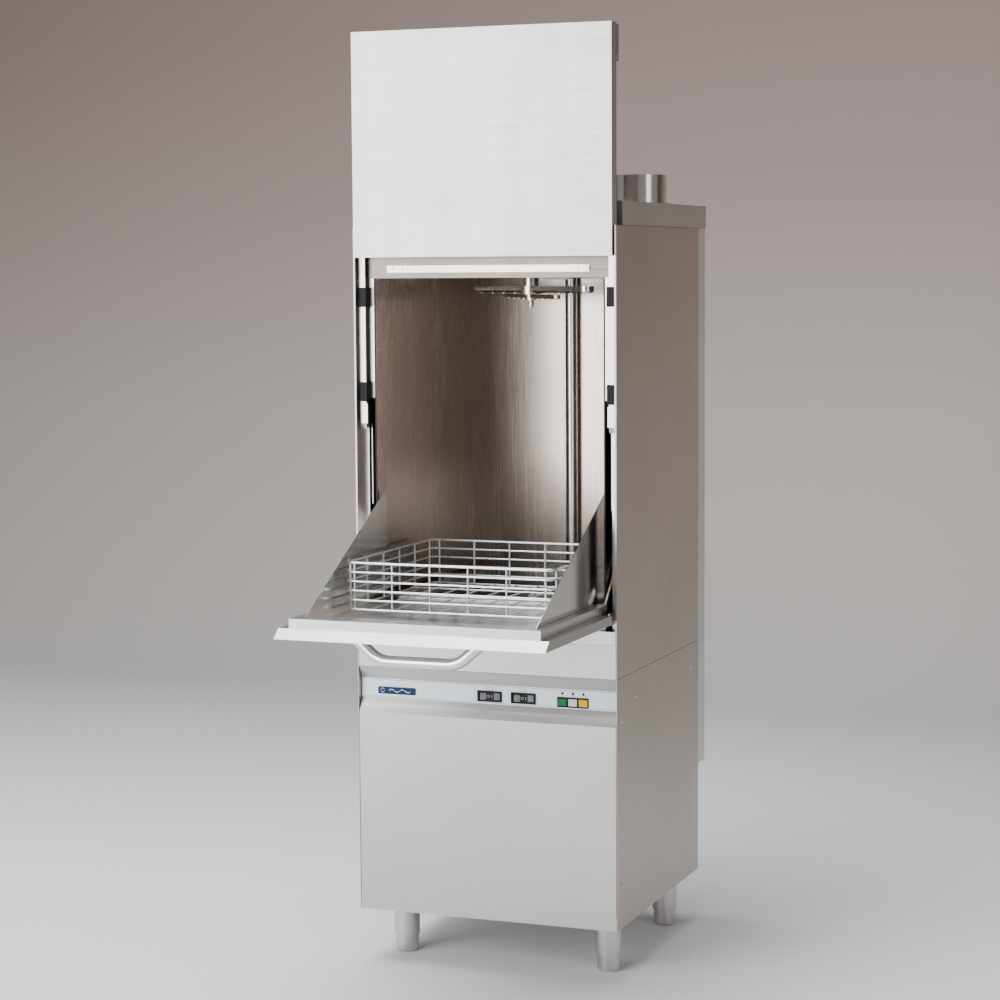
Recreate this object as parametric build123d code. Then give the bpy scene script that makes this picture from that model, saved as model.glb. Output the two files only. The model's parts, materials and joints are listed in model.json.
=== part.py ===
"""Split-door commercial dishwasher for utensils and crates.

The upper door slides up in front of the cabinet and the lower door folds down to a shelf.
Work frame of this source: x to the right, y to the back with the cabinet's front at y = 0,
z up from the floor, millimetres.  Every piece is moved to the part's own frame when it is
written: the origin is the centre of the footprint, on the floor.
"""

import os
from math import radians, sin, sqrt

from build123d import *

# ---------------------------------------------------------------- driving dimensions
CABINET_WIDTH = 600.0
CABINET_DEPTH = 600.0
BODY_BOTTOM = 120.0  # underside of the base tray
SEAM_Z = 664.0  # joint between lower and upper body
CABINET_TOP = 1621.0
CAP_HEIGHT = 51.0
CAP_FRONT = 44.0  # setback of the top cap
DUCT_DEPTH = 59.0  # rear duct behind the cabinet
DUCT_BOTTOM = 370.0
SHEET = 1.2  # outer sheet metal
PLATE = 1.5  # liner and tank sheet metal
GAP = 0.8  # reveal between neighbouring panels

FOOT_INSET_X = 60.0
FOOT_INSET_Y = 120.0
FOOT_REAR_INSET = 73.0
SLEEVE_RADIUS = 28.75
FOOT_RADIUS = 25.5
FOOT_CLEARANCE = 0.1
FOOT_STEP = 38.0  # visible height of the levelling foot
FOOT_EDGE = 6.0

RECESS_DEPTH = 15.0  # control band
BAND_BOTTOM = 593.0
BAND_TOP = 636.0
LOWER_BEVEL = 32.0
SILL_BOTTOM = 738.0
SILL_TOP = 766.0
SILL_PROUD = 2.0

PIVOT_Z = 793.0  # lower door hinge, on the plane y = 0
DOOR_REACH = 424.0  # pivot to the lip of the lower door
DOOR_FACE = 10.0  # outer face of both doors in front of the hinge plane
DOOR_TAIL = 22.0  # skin behind the pivot
SKIN_HEIGHT = 20.0
LIP_BEVEL = 23.0
LOWER_DOOR_HALF = CABINET_WIDTH / 2 - 5.4
PAN_HALF = CABINET_WIDTH / 2 - 25.0
PAN_HEIGHT = 19.0  # liner rim above the skin
PAN_SETBACK = 30.0  # liner rim behind the lip
PAN_RIM = 20.0
PAN_DEPTH = 17.0
PAN_TAIL = 10.0
EAR_SETBACK = 20.0  # skin corners end this far in front of the pivot

CHEEK_X = PAN_HALF - 22.0
CHEEK_FRONT = DOOR_REACH - 52.0
CHEEK_BACK = 57.0
CHEEK_TOP = 1051.0
CHEEK_TOE = 11.0

HANDLE_HALF = 136.0
HANDLE_GRIP_HALF = 86.0
HANDLE_DROP = 43.0
HANDLE_RADIUS = 12.5
HANDLE_SETBACK = 59.0
HANDLE_BEND = 60.0

UPPER_DOOR_HEIGHT = 481.0
UPPER_DOOR_DEPTH = 32.0
UPPER_DOOR_HALF = CABINET_WIDTH / 2 - 5.5
UPPER_FLANGE_DEPTH = 19.0
DOOR_SEAL_GAP = 2.0  # between the closed doors
LEVER_RADIUS = 239.0
LEVER_THICK = 4.0
LEVER_WIDTH = 24.0
ROLLER_RADIUS = 8.0

BAR_INNER = CABINET_WIDTH / 2 - 21.0
BAR_FRONT = 14.0
BAR_THICK = 4.0
BAR_BELOW_DOOR = 372.0
YOKE_THICK = 3.0

JAMB_Y = 31.0  # seat plane of the jambs
LINER_HALF = CABINET_WIDTH / 2 - 38.0  # inside face of the chamber walls
CHAMBER_BACK = CABINET_DEPTH - 15.0
CHAMBER_TOP = CABINET_TOP - 76.0
CHAMBER_BOTTOM = 725.0
LINTEL_BOTTOM = CABINET_TOP - 109.0

TANK_HALF = LINER_HALF - 27.0
TANK_FRONT = 45.0
TANK_BACK = CABINET_DEPTH - 55.0
TANK_BOTTOM = 575.0

RACK_HALF = LINER_HALF - 26.0
RACK_FRONT = -205.0
RACK_DEPTH = 475.0
RACK_BOTTOM = 817.0
RACK_HEIGHT = 103.0
RACK_LEVELS = 6
RACK_POSTS = 6
WIRE_RADIUS = 2.2
POST_RADIUS = 2.6
RAIL_INNER = RACK_HALF - 21.0
RAIL_WIDTH = 22.0
RAIL_HEIGHT = 20.0
ROLLER_Y = 46.0
SILL_ROLLER_RADIUS = 7.0

ARM_Y = 300.0
WASH_ARM_RADIUS = 228.0
RINSE_ARM_RADIUS = 208.0
LOWER_ARM_Z = 766.0
UPPER_ARM_Z = CABINET_TOP - 129.0
AXLE_RADIUS = 6.0
RUNNING_CLEARANCE = 0.05
RISER_RADIUS = 14.0
RISER_Y = CABINET_DEPTH - 33.0

SPIGOT_X = 222.0
SPIGOT_Y = 405.0
SPIGOT_RADIUS = 60.0
SPIGOT_HEIGHT = 65.0

SWITCH_WIDTH = 57.0
SWITCH_HEIGHT = 24.0
SWITCH_Z = 610.0
SWITCH_CENTRES = (5.5, 83.5)
ROCKER_TILT = 8.0
BUTTON_BLOCK_X = 196.5
BUTTON_BLOCK_Z = 607.0
BUTTON_BLOCK_WIDTH = 71.0
BUTTON_BLOCK_HEIGHT = 22.0
LAMP_STEM = 2.0
BADGE_X = -213.0
BADGE_WIDTH = 90.0
BADGE_HEIGHT = 16.0
SLIDE_FIT = 0.3  # clearance of buttons, rockers and guides

SCREW_RADIUS = 2.0
SCREW_HEAD = 4.5
DRAIN_RADIUS = 16.0
INLET_RADIUS = 13.2
GLAND_RADIUS = 10.0
SUPPLY_X = CABINET_WIDTH / 2 - 38.0  # water inlet and cable gland, to the left of the middle
STUB_REACH = 40.0  # drain stub behind the cabinet
INLET_REACH = 26.0
COLLAR = 2.0  # flange of each stub on the back panel
COLLAR_WIDTH = 5.0

# ---------------------------------------------------------------- worked out from them
HALF_W = CABINET_WIDTH / 2
INNER_HALF = HALF_W - SHEET
PANEL_HALF = HALF_W - SHEET - 1.3
BACK_Y = CABINET_DEPTH + DUCT_DEPTH
SKIN_BOTTOM = PIVOT_Z - DOOR_FACE
SKIN_TOP = SKIN_BOTTOM + SKIN_HEIGHT
PAN_TOP = SKIN_TOP + PAN_HEIGHT
PAN_FRONT = -DOOR_REACH + PAN_SETBACK
DOOR_MEET_Z = PIVOT_Z + DOOR_REACH
UPPER_TRAVEL = sqrt(2) * LEVER_RADIUS
UPPER_BOTTOM = DOOR_MEET_Z + DOOR_SEAL_GAP + UPPER_TRAVEL
UPPER_TOP = UPPER_BOTTOM + UPPER_DOOR_HEIGHT
PIN_Y = LEVER_RADIUS / sqrt(2)
PIN_Z = PIVOT_Z + PIN_Y
CAP_TOP = CABINET_TOP + CAP_HEIGHT
FEET = [
    (side * (HALF_W - FOOT_INSET_X), y)
    for side in (-1, 1)
    for y in (FOOT_INSET_Y, CABINET_DEPTH - FOOT_REAR_INSET)
]
JAMB_SLOT_TOP = PIVOT_Z + 459.0  # top of the slots in the jambs
CENTRE_Y = (BACK_Y - DOOR_REACH) / 2  # middle of the footprint with the doors open


# ---------------------------------------------------------------- shape helpers
def block(x0, x1, y0, y1, z0, z1):
    """A box between two corners."""
    middle = Pos((x0 + x1) / 2, (y0 + y1) / 2, (z0 + z1) / 2)
    return middle * Box(abs(x1 - x0), abs(y1 - y0), abs(z1 - z0))


def pair(x0, x1, y0, y1, z0, z1):
    """The same box on the left and on the right."""
    return [block(x0, x1, y0, y1, z0, z1), block(-x1, -x0, y0, y1, z0, z1)]


def side_prism(points, x0, x1):
    """An outline in (y, z) stretched from x0 to x1."""
    outline = Plane.YZ.offset(x0) * Polyline(*points, close=True)
    return extrude(make_face(outline), amount=x1 - x0, dir=(1, 0, 0))


def level_prism(points, z0, z1):
    """An outline in (x, y) stretched from z0 to z1."""
    outline = Plane.XY.offset(z0) * Polyline(*points, close=True)
    return extrude(make_face(outline), amount=z1 - z0, dir=(0, 0, 1))


def rod_x(x0, x1, y, z, radius):
    """A round bar along x."""
    return Pos((x0 + x1) / 2, y, z) * Rot(0, 90, 0) * Cylinder(radius, abs(x1 - x0))


def rod_y(x, y0, y1, z, radius):
    """A round bar along y."""
    return Pos(x, (y0 + y1) / 2, z) * Rot(90, 0, 0) * Cylinder(radius, abs(y1 - y0))


def rod_z(x, y, z0, z1, radius):
    """A round bar along z."""
    return Pos(x, y, (z0 + z1) / 2) * Cylinder(radius, abs(z1 - z0))


def bent_rod(points, radius, bend):
    """A round bar along straight runs with rounded corners."""
    path = FilletPolyline(*points, radius=bend)
    section = Plane(origin=path @ 0, z_dir=path % 0) * Circle(radius)
    return sweep(section, path=path)


def mirrored(shape):
    """The shape and its mirror image across x = 0."""
    return [shape, mirror(shape, about=Plane.YZ)]


def joined(parts):
    """One solid from touching or overlapping parts."""
    first, *rest = parts
    return first.fuse(*rest).clean() if rest else first


# ---------------------------------------------------------------- feet and base
def levelling_feet():
    feet = []
    for x, y in FEET:
        foot = rod_z(x, y, 0, BODY_BOTTOM - FOOT_STEP, FOOT_RADIUS)
        rim = foot.edges().sort_by(Axis.Z)[0]
        feet.append(fillet(rim, FOOT_EDGE))
    return feet


def base_frame():
    """Bottom tray with the four foot sleeves welded under it."""
    wall = 30.0
    floor = BODY_BOTTOM + PLATE
    outer = block(-INNER_HALF, INNER_HALF, SHEET, CABINET_DEPTH - SHEET, BODY_BOTTOM, BODY_BOTTOM + wall)
    inner = block(
        -INNER_HALF + PLATE, INNER_HALF - PLATE, SHEET + PLATE, CABINET_DEPTH - SHEET - PLATE,
        floor, BODY_BOTTOM + wall,
    )
    sleeves = [rod_z(x, y, FOOT_STEP, floor, SLEEVE_RADIUS) for x, y in FEET]
    bores = [rod_z(x, y, FOOT_STEP - 5, BODY_BOTTOM, FOOT_RADIUS + FOOT_CLEARANCE) for x, y in FEET]
    return joined([outer - inner, *sleeves]).cut(*bores)


# ---------------------------------------------------------------- body panels
def screw_places():
    """Panel screws as (y, z) on a side panel."""
    top_row = SEAM_Z - 54.0
    column_y = 31.0
    return [
        (FOOT_INSET_Y + 7.0, top_row),
        (CABINET_DEPTH - FOOT_REAR_INSET + 7.0, top_row),
        (column_y, SEAM_Z - 95.0),
        (column_y, BODY_BOTTOM + 94.0),
    ]


def lower_side_panel(side):
    panel = block(INNER_HALF, HALF_W, 0, CABINET_DEPTH, BODY_BOTTOM, SEAM_Z - GAP)
    for y, z in screw_places():
        panel -= rod_x(INNER_HALF, HALF_W, y, z, SCREW_RADIUS + 0.2)
    return panel if side > 0 else mirror(panel, about=Plane.YZ)


def side_screw(side, y, z):
    head_height = 2.2
    shank = rod_x(INNER_HALF - 6, HALF_W, y, z, SCREW_RADIUS)
    head = rod_x(HALF_W, HALF_W + head_height, y, z, SCREW_HEAD)
    head = fillet(head.edges().sort_by(Axis.X)[-1], 1.2)
    screw = joined([shank, head])
    return screw if side > 0 else mirror(screw, about=Plane.YZ)


def panel_screws():
    return [side_screw(side, y, z) for side in (-1, 1) for y, z in screw_places()]


def lower_front_panel():
    bevel_start = BAND_BOTTOM - LOWER_BEVEL
    outer = [
        (0, BODY_BOTTOM),
        (0, bevel_start),
        (RECESS_DEPTH, BAND_BOTTOM),
        (RECESS_DEPTH, BAND_TOP),
        (0, SEAM_Z - GAP),
    ]
    inner = [(y + SHEET, z) for y, z in reversed(outer)]
    panel = side_prism(outer + inner, -PANEL_HALF, PANEL_HALF)
    for opening in band_openings():
        panel -= opening
    return panel


def band_openings():
    """Clear holes in the control band for the switches and the button block."""
    y0, y1 = RECESS_DEPTH - 5, RECESS_DEPTH + 5
    half_w, half_h = switch_body_half()
    openings = [
        block(x - half_w, x + half_w, y0, y1, SWITCH_Z - half_h, SWITCH_Z + half_h)
        for x in SWITCH_CENTRES
    ]
    half_w = BUTTON_BLOCK_WIDTH / 2 - 2
    half_h = BUTTON_BLOCK_HEIGHT / 2 - 2
    openings.append(
        block(
            BUTTON_BLOCK_X - half_w, BUTTON_BLOCK_X + half_w, y0, y1,
            BUTTON_BLOCK_Z - half_h, BUTTON_BLOCK_Z + half_h,
        )
    )
    openings += [rod_y(x, y0, y1, lamp_z(), LAMP_STEM + 0.1) for x in lamp_places()]
    return openings


def lower_back_panel():
    panel = block(
        -PANEL_HALF, PANEL_HALF, CABINET_DEPTH - SHEET, CABINET_DEPTH, BODY_BOTTOM, SEAM_Z - GAP
    )
    for x, z, radius in service_ports():
        panel -= rod_y(x, CABINET_DEPTH - 5, CABINET_DEPTH + 5, z, radius + 0.3)
    vent = block(-200, 200, CABINET_DEPTH - 5, CABINET_DEPTH + 5, DUCT_BOTTOM + 40, SEAM_Z - 40)
    return panel - vent


def service_ports():
    """Drain, water inlet and cable gland as (x, z, radius) on the back."""
    drain_x, _ = overflow_place()
    hose_z = BODY_BOTTOM + 75.0
    return [
        (drain_x, hose_z, DRAIN_RADIUS),
        (-SUPPLY_X, hose_z, INLET_RADIUS),
        (-SUPPLY_X, hose_z + 90.0, GLAND_RADIUS),
    ]


def upper_front_panel():
    face = block(-PANEL_HALF, PANEL_HALF, 0, SHEET, SEAM_Z, SILL_BOTTOM - GAP)
    flange = block(-PANEL_HALF, PANEL_HALF, 0, 8, SILL_BOTTOM - GAP - SHEET, SILL_BOTTOM - GAP)
    return joined([face, flange])


def door_sill():
    """Front strip, ledge and drip wall, slotted where the door's cheeks pass."""
    half = LINER_HALF - 1
    strip = block(-PANEL_HALF, PANEL_HALF, -SILL_PROUD, 0, SILL_BOTTOM, SILL_TOP)
    ledge = block(-half, half, -SILL_PROUD, JAMB_Y + PLATE, SILL_TOP - PLATE, SILL_TOP)
    drip = block(-half, half, JAMB_Y, JAMB_Y + PLATE, CHAMBER_BOTTOM, SILL_TOP)
    sill = joined([strip, ledge, drip])
    for slot in pair(CHEEK_X - 4, CHEEK_X + 4, 8, 60, CHAMBER_BOTTOM + 3, SILL_TOP + 5):
        sill -= slot
    return sill


def upper_side_panel(side):
    hem_width = 4.0
    face = block(INNER_HALF, HALF_W, 0, CABINET_DEPTH, SEAM_Z, CABINET_TOP - GAP)
    hem = block(HALF_W - hem_width, HALF_W, 0, SHEET, SEAM_Z + GAP + 74, CABINET_TOP - GAP)
    panel = joined([face, hem])
    return panel if side > 0 else mirror(panel, about=Plane.YZ)


def upper_back_panel():
    panel = block(
        -PANEL_HALF, PANEL_HALF, CABINET_DEPTH - SHEET, CABINET_DEPTH, SEAM_Z, CABINET_TOP - GAP
    )
    vent_z = CABINET_TOP - 60
    return panel - block(-220, 220, CABINET_DEPTH - 5, CABINET_DEPTH + 5, vent_z - 20, vent_z + 20)


def rear_duct():
    outer = block(-HALF_W + 2, HALF_W - 2, CABINET_DEPTH, BACK_Y, DUCT_BOTTOM, CABINET_TOP - GAP)
    inner = block(
        -HALF_W + 2 + SHEET, HALF_W - 2 - SHEET, CABINET_DEPTH, BACK_Y - SHEET,
        DUCT_BOTTOM + SHEET, CABINET_TOP - GAP,
    )
    return outer - inner


def top_cap():
    outer = block(-HALF_W, HALF_W, CAP_FRONT, BACK_Y, CABINET_TOP, CAP_TOP)
    inner = block(
        -HALF_W + PLATE, HALF_W - PLATE, CAP_FRONT + PLATE, BACK_Y - PLATE,
        CABINET_TOP, CAP_TOP - PLATE,
    )
    hole = rod_z(SPIGOT_X, SPIGOT_Y, CAP_TOP - 5, CAP_TOP + 5, SPIGOT_RADIUS + 0.2)
    return outer - inner - hole


def steam_spigot():
    wall = 1.5
    collar = 10.0
    tube = rod_z(SPIGOT_X, SPIGOT_Y, CAP_TOP - 12, CAP_TOP + SPIGOT_HEIGHT, SPIGOT_RADIUS)
    ring = rod_z(SPIGOT_X, SPIGOT_Y, CAP_TOP, CAP_TOP + 2, SPIGOT_RADIUS + collar)
    bore = rod_z(
        SPIGOT_X, SPIGOT_Y, CAP_TOP - 20, CAP_TOP + SPIGOT_HEIGHT + 5, SPIGOT_RADIUS - wall
    )
    return joined([tube, ring]) - bore


# ---------------------------------------------------------------- controls
def control_fascia():
    half = PANEL_HALF
    front = RECESS_DEPTH - GAP
    plate = block(-half, half, front, RECESS_DEPTH, BAND_BOTTOM + 0.5, BAND_TOP - 0.5)
    for opening in band_openings():
        plate -= opening
    return plate


def badge_plate():
    front = RECESS_DEPTH - GAP
    plate = block(
        BADGE_X - BADGE_WIDTH / 2, BADGE_X + BADGE_WIDTH / 2, front - 1, front,
        SWITCH_Z - BADGE_HEIGHT / 2, SWITCH_Z + BADGE_HEIGHT / 2,
    )
    return fillet(plate.edges().filter_by(Axis.Y), 3.0)


def switch_body_half():
    bezel_lip = 3.4
    return SWITCH_WIDTH / 2 - bezel_lip + 2.2, SWITCH_HEIGHT / 2 - 1.2


def rocker_pivot():
    return RECESS_DEPTH + 7.0


def switch_housing(x):
    """Bezel with a pocket for the rocker and a bore for its pins."""
    front = RECESS_DEPTH - GAP
    half_w, half_h = switch_body_half()
    bezel = block(
        x - SWITCH_WIDTH / 2, x + SWITCH_WIDTH / 2, front - 2, front,
        SWITCH_Z - SWITCH_HEIGHT / 2, SWITCH_Z + SWITCH_HEIGHT / 2,
    )
    body = block(
        x - half_w + SLIDE_FIT, x + half_w - SLIDE_FIT, front, front + 22,
        SWITCH_Z - half_h + SLIDE_FIT, SWITCH_Z + half_h - SLIDE_FIT,
    )
    pocket_w, pocket_h = rocker_half()
    pocket = block(
        x - pocket_w - 1.6, x + pocket_w + 1.6, front - 5, front + 17,
        SWITCH_Z - pocket_h - SLIDE_FIT, SWITCH_Z + pocket_h + SLIDE_FIT,
    )
    pins = rod_z(x, rocker_pivot(), SWITCH_Z - half_h, SWITCH_Z + half_h, 1.5 + RUNNING_CLEARANCE)
    return joined([bezel, body]) - pocket - pins


def rocker_half():
    return SWITCH_WIDTH / 2 - 5.0, SWITCH_HEIGHT / 2 - 3.2


def switch_rocker(x):
    """Two shallow wings about an upright pin, one wing pressed in."""
    half_w, half_h = rocker_half()
    pivot_y = rocker_pivot()
    wing = 11.0
    middle = 9.0
    outline = [
        (-half_w, -wing),
        (0, -middle),
        (half_w, -wing),
        (half_w, -3),
        (12, 3),
        (-12, 3),
        (-half_w, -3),
    ]
    body = level_prism(outline, SWITCH_Z - half_h, SWITCH_Z + half_h)
    pin = rod_z(0, 0, SWITCH_Z - half_h - 1.0, SWITCH_Z + half_h + 1.0, 1.5)
    return Pos(x, pivot_y, 0) * Rot(0, 0, ROCKER_TILT) * joined([body, pin])


def button_places():
    pitch = BUTTON_BLOCK_WIDTH / 3
    return [BUTTON_BLOCK_X + i * pitch for i in (-1, 0, 1)]


def button_half():
    return BUTTON_BLOCK_WIDTH / 6 - 2.2, BUTTON_BLOCK_HEIGHT / 2 - 3.4


def button_frame():
    front = RECESS_DEPTH - GAP
    bezel = block(
        BUTTON_BLOCK_X - BUTTON_BLOCK_WIDTH / 2, BUTTON_BLOCK_X + BUTTON_BLOCK_WIDTH / 2,
        front - 2, front,
        BUTTON_BLOCK_Z - BUTTON_BLOCK_HEIGHT / 2, BUTTON_BLOCK_Z + BUTTON_BLOCK_HEIGHT / 2,
    )
    body = block(
        BUTTON_BLOCK_X - BUTTON_BLOCK_WIDTH / 2 + 2.3, BUTTON_BLOCK_X + BUTTON_BLOCK_WIDTH / 2 - 2.3,
        front, front + 18,
        BUTTON_BLOCK_Z - BUTTON_BLOCK_HEIGHT / 2 + 2.3, BUTTON_BLOCK_Z + BUTTON_BLOCK_HEIGHT / 2 - 2.3,
    )
    frame = joined([bezel, body])
    half_w, half_h = button_half()
    for x in button_places():
        frame -= block(
            x - half_w - SLIDE_FIT, x + half_w + SLIDE_FIT, front - 5, front + 15,
            BUTTON_BLOCK_Z - half_h - SLIDE_FIT, BUTTON_BLOCK_Z + half_h + SLIDE_FIT,
        )
    return frame


def push_button(x):
    front = RECESS_DEPTH - GAP - 2
    half_w, half_h = button_half()
    cap = block(
        x - half_w, x + half_w, front - 1.4, front + 12,
        BUTTON_BLOCK_Z - half_h, BUTTON_BLOCK_Z + half_h,
    )
    return fillet(cap.faces().sort_by(Axis.Y)[0].edges(), 0.8)


def lamp_z():
    return BUTTON_BLOCK_Z + BUTTON_BLOCK_HEIGHT / 2 + 8.0


def lamp_places():
    return button_places()


def indicator_lamps():
    front = RECESS_DEPTH - GAP
    lamps = []
    for x in lamp_places():
        stem = rod_y(x, front, front + 8, lamp_z(), LAMP_STEM)
        lens = rod_y(x, front - 1, front, lamp_z(), 3.0)
        lamps.append(joined([stem, fillet(lens.edges().sort_by(Axis.Y)[0], 0.6)]))
    return lamps


# ---------------------------------------------------------------- chamber and tank
def chamber_liner():
    """Left, back and right wall in one bent sheet."""
    outer_half = LINER_HALF + PLATE
    outer = block(-outer_half, outer_half, JAMB_Y + PLATE, CHAMBER_BACK, CHAMBER_BOTTOM, CHAMBER_TOP)
    inner = block(
        -LINER_HALF, LINER_HALF, JAMB_Y - 5, CHAMBER_BACK - PLATE, CHAMBER_BOTTOM - 5, CHAMBER_TOP + 5
    )
    return outer - inner


def chamber_ceiling():
    half = LINER_HALF + PLATE
    sheet = block(-half, half, JAMB_Y + PLATE, CHAMBER_BACK, CHAMBER_TOP, CHAMBER_TOP + PLATE)
    return sheet - block(-120, 120, CHAMBER_BACK - 50, CHAMBER_BACK - 25, CHAMBER_TOP - 5, CHAMBER_TOP + 5)


def wash_tank():
    rim = block(
        -LINER_HALF - PLATE, LINER_HALF + PLATE, JAMB_Y + PLATE, CHAMBER_BACK,
        CHAMBER_BOTTOM - PLATE, CHAMBER_BOTTOM,
    )
    basin = block(-TANK_HALF, TANK_HALF, TANK_FRONT, TANK_BACK, TANK_BOTTOM, CHAMBER_BOTTOM)
    hollow = block(
        -TANK_HALF + PLATE, TANK_HALF - PLATE, TANK_FRONT + PLATE, TANK_BACK - PLATE,
        TANK_BOTTOM + PLATE, CHAMBER_BOTTOM + 5,
    )
    tank = joined([rim, basin]) - hollow
    tank -= rod_z(0, RISER_Y, CHAMBER_BOTTOM - 5, CHAMBER_BOTTOM + 5, RISER_RADIUS + 0.3)
    x, y = overflow_place()
    tank -= rod_z(x, y, TANK_BOTTOM - 5, TANK_BOTTOM + 5, DRAIN_RADIUS - 2)
    x, y = suction_place()
    return tank - rod_z(x, y, TANK_BOTTOM - 5, TANK_BOTTOM + 5, suction_radius() - 2)


def overflow_place():
    return TANK_HALF - 55.0, TANK_BACK - 26.0


def suction_place():
    return 120.0, ARM_Y + 160.0


def suction_radius():
    return 18.0


def tank_filter():
    """Perforated tray over the basin."""
    half = TANK_HALF + 5
    y0, y1 = TANK_FRONT - 5, TANK_BACK - 5
    sheet = block(-half, half, y0, y1, CHAMBER_BOTTOM, CHAMBER_BOTTOM + 2)
    columns, rows = 10, 16
    grid = GridLocations(2 * half / (columns + 1), (y1 - y0) / (rows + 3), columns, rows)
    middle_y = (y0 + y1) / 2 - 12
    slots = [
        Pos(0, middle_y, CHAMBER_BOTTOM + 1) * place * Box(26, 6, 4) for place in grid
    ]
    sheet = sheet.cut(*slots)
    x, y = overflow_place()
    return sheet - rod_z(x, y, CHAMBER_BOTTOM - 5, CHAMBER_BOTTOM + 5, overflow_radius() + 2)


def overflow_radius():
    return 15.0


def overflow_pipe():
    """Stand pipe that plugs the tank's drain and is pulled up by its ring."""
    x, y = overflow_place()
    floor = TANK_BOTTOM + PLATE + 0.3
    top = CHAMBER_BOTTOM + 60
    pipe = rod_z(x, y, floor, top, overflow_radius())
    return pipe - rod_z(x, y, floor - 5, top + 5, overflow_radius() - 1.5)


def rack_rails():
    """Two angle rails for the rack, tied at the back and standing on the sill."""
    top = RACK_BOTTOM - 0.5
    y0, y1 = JAMB_Y + PLATE, CHAMBER_BACK - PLATE
    parts = []
    parts += pair(RAIL_INNER, RAIL_INNER + RAIL_WIDTH, y0 + 25, y1, top - 2, top)
    parts += pair(RAIL_INNER, RAIL_INNER + 2, y0, y1, top - RAIL_HEIGHT, top)
    parts.append(block(-RAIL_INNER - 1, RAIL_INNER + 1, y1 - 2, y1, top - RAIL_HEIGHT, top))
    parts += pair(RAIL_INNER, RAIL_INNER + RAIL_WIDTH, y0, y0 + 2, SILL_TOP - 20, top - RAIL_HEIGHT / 2)
    rails = joined(parts)
    axle_z = sill_roller_z()
    bore = AXLE_RADIUS - 2 + RUNNING_CLEARANCE
    return rails - rod_x(-RAIL_INNER - 10, RAIL_INNER + 10, ROLLER_Y, axle_z, bore)


def sill_roller_z():
    return RACK_BOTTOM - 0.6 - SILL_ROLLER_RADIUS


def sill_roller():
    half = RAIL_INNER - 0.5
    barrel = rod_x(-half, half, ROLLER_Y, sill_roller_z(), SILL_ROLLER_RADIUS)
    axle = rod_x(-RAIL_INNER - 6, RAIL_INNER + 6, ROLLER_Y, sill_roller_z(), AXLE_RADIUS - 2)
    return joined([barrel, axle])


# ---------------------------------------------------------------- washing system
def wash_manifold():
    """Riser at the back wall with a branch and an axle for each pair of arms."""
    low_z = CHAMBER_BOTTOM + 20
    high_z = UPPER_ARM_Z + 26
    pipes = [rod_z(0, RISER_Y, pump_outlet_top(), high_z, RISER_RADIUS)]
    for z in (low_z, high_z):
        pipes.append(rod_y(0, ARM_Y, RISER_Y, z, RISER_RADIUS - 0.5))
        pipes.append(Pos(0, RISER_Y, z) * Sphere(RISER_RADIUS))
    pipes.append(rod_z(0, ARM_Y, low_z - RISER_RADIUS, LOWER_ARM_Z - 0.5, 18))
    pipes.append(rod_z(0, ARM_Y, low_z, LOWER_ARM_Z + 46, AXLE_RADIUS))
    pipes.append(rod_z(0, ARM_Y, UPPER_ARM_Z + 0.5, high_z + RISER_RADIUS, 18))
    pipes.append(rod_z(0, ARM_Y, UPPER_ARM_Z - 46, high_z, AXLE_RADIUS))
    return joined(pipes)


def pump_outlet_top():
    return TANK_BOTTOM - 130.0


def spray_arm(length, width, height, hub_radius):
    """Two-bladed arm with nozzles, lying on z = 0, bored for the axle."""
    blade = extrude(SlotOverall(2 * length, width), amount=height)
    blade = fillet(blade.faces().sort_by(Axis.Z)[-1].edges(), height / 3)
    hub = rod_z(0, 0, 0, height + 3, hub_radius)
    parts = [blade, hub]
    nozzles = 4
    for side in (-1, 1):
        for i in range(nozzles):
            x = side * length * (0.28 + 0.2 * i)
            parts.append(rod_z(x, 0, 0, height + 1.5, 4))
    return joined(parts) - Cylinder(AXLE_RADIUS + RUNNING_CLEARANCE, 4 * height)


def wash_arm():
    return spray_arm(WASH_ARM_RADIUS, 34, 15, 24)


def rinse_arm():
    return spray_arm(RINSE_ARM_RADIUS, 16, 9, 14)


def lower_arm(arm, lift):
    return Pos(0, ARM_Y, LOWER_ARM_Z + lift) * Rot(0, 0, 25 + lift) * arm


def upper_arm(arm, drop):
    return Pos(0, ARM_Y, UPPER_ARM_Z - drop) * Rot(0, 0, -35 - drop) * Rot(180, 0, 0) * arm


def rinse_lift():
    return 18.6  # above the wash arm's hub


def pump_axis():
    """Height and depth of the pump's shaft, as (y, z)."""
    return RISER_Y - 45, pump_outlet_top() - 110


def wash_pump():
    axis_y, axis_z = pump_axis()
    volute_half, volute_radius = 30, 75
    motor_length, motor_radius = 200, 62
    volute = rod_x(-volute_half, volute_half, axis_y, axis_z, volute_radius)
    motor = rod_x(-volute_half - motor_length, -volute_half, axis_y, axis_z, motor_radius)
    outlet = rod_z(0, RISER_Y, axis_z, pump_outlet_top(), RISER_RADIUS)
    inlet = rod_x(0, 2 * volute_half, axis_y, axis_z, suction_radius())
    feet = [
        block(x - 3, x + 3, axis_y - 50, axis_y + 50, BODY_BOTTOM + PLATE, axis_z - 40)
        for x in (-190, -60)
    ]
    return joined([volute, motor, outlet, inlet, *feet])


def suction_pipe():
    x, y = suction_place()
    axis_y, axis_z = pump_axis()
    shift_z = TANK_BOTTOM - 60
    low = (60, axis_y, axis_z)
    turn = (x, axis_y, axis_z)
    high = (x, axis_y, shift_z)
    shift = (x, y, shift_z)
    top = (x, y, TANK_BOTTOM)
    return bent_rod([low, turn, high, shift, top], suction_radius(), 24)


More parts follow.
